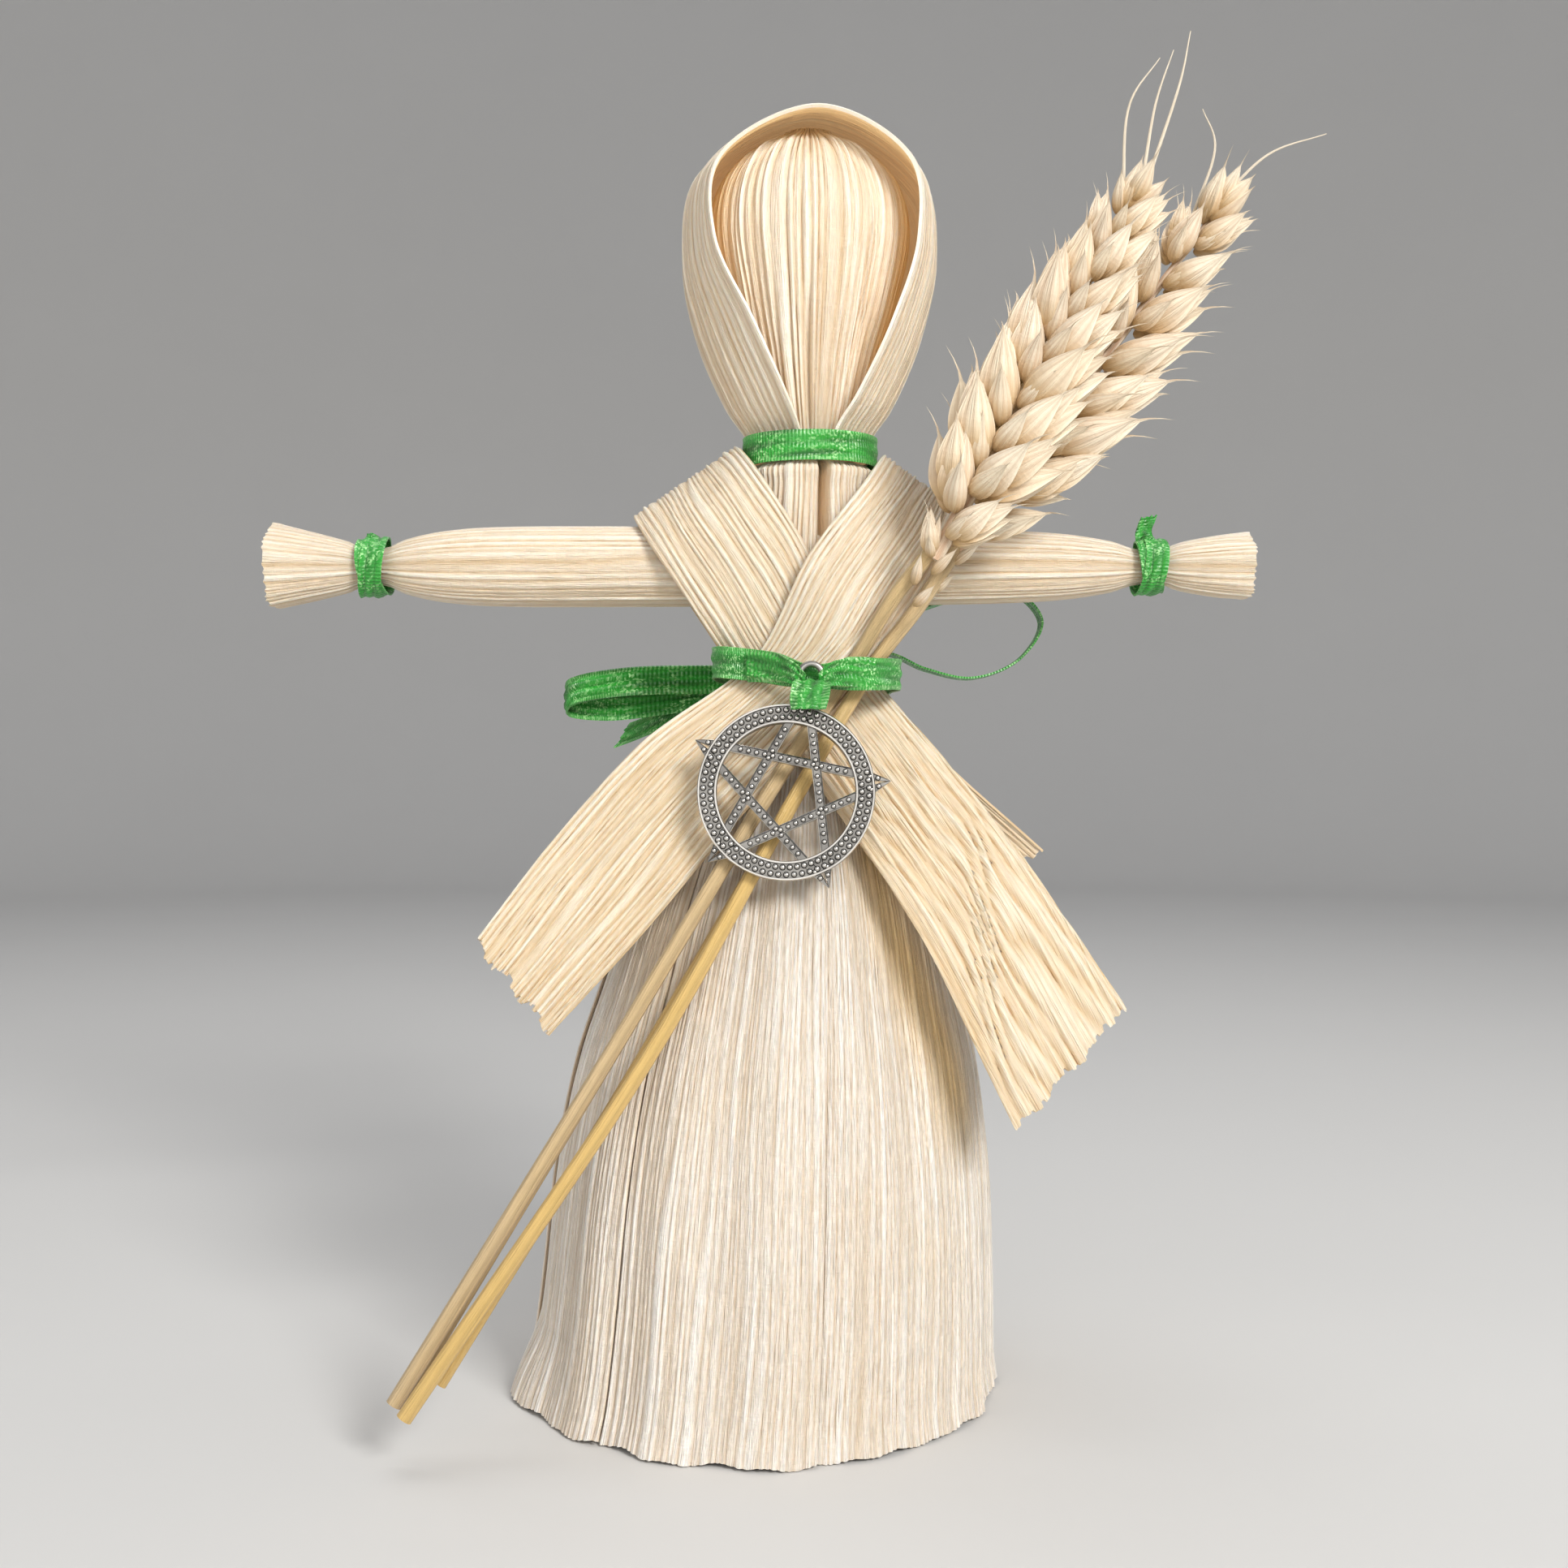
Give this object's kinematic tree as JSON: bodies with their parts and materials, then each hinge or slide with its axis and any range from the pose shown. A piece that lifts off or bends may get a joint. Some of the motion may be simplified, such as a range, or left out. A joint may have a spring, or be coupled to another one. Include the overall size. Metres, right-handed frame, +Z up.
{
  "type": "corn husk doll",
  "caption": "Standing corn husk doll with a hooded head, outstretched arms, crossed shawl, green ribbon ties, wheat stalks and a silver star charm",
  "frame": {"origin": "centre of the standing footprint of the whole doll, on the surface it stands on", "axes": "+Z up, +X to the viewer's right, the front of the doll faces -Y"},
  "size_m": [0.2091, 0.0987, 0.2611],
  "materials": {
    "husk": "matte",
    "ribbon": "satin",
    "charm_metal": "polished",
    "wheat": "satin",
    "straw": "satin"
  },
  "bodies": {
    "root": {"skirt": "husk", "head_and_body": "husk", "hood": "husk", "arms": "husk", "shawl_from_left_shoulder": "husk", "shawl_from_right_shoulder": "husk", "neck_ribbon": "ribbon", "waist_ribbon": "ribbon", "wrist_ribbon_left": "ribbon", "wrist_ribbon_right": "ribbon", "charm": "charm_metal", "wheat_left": "wheat", "wheat_right": "wheat", "straw_pale": "straw", "straw_tan": "straw"}
  },
  "joints": []
}
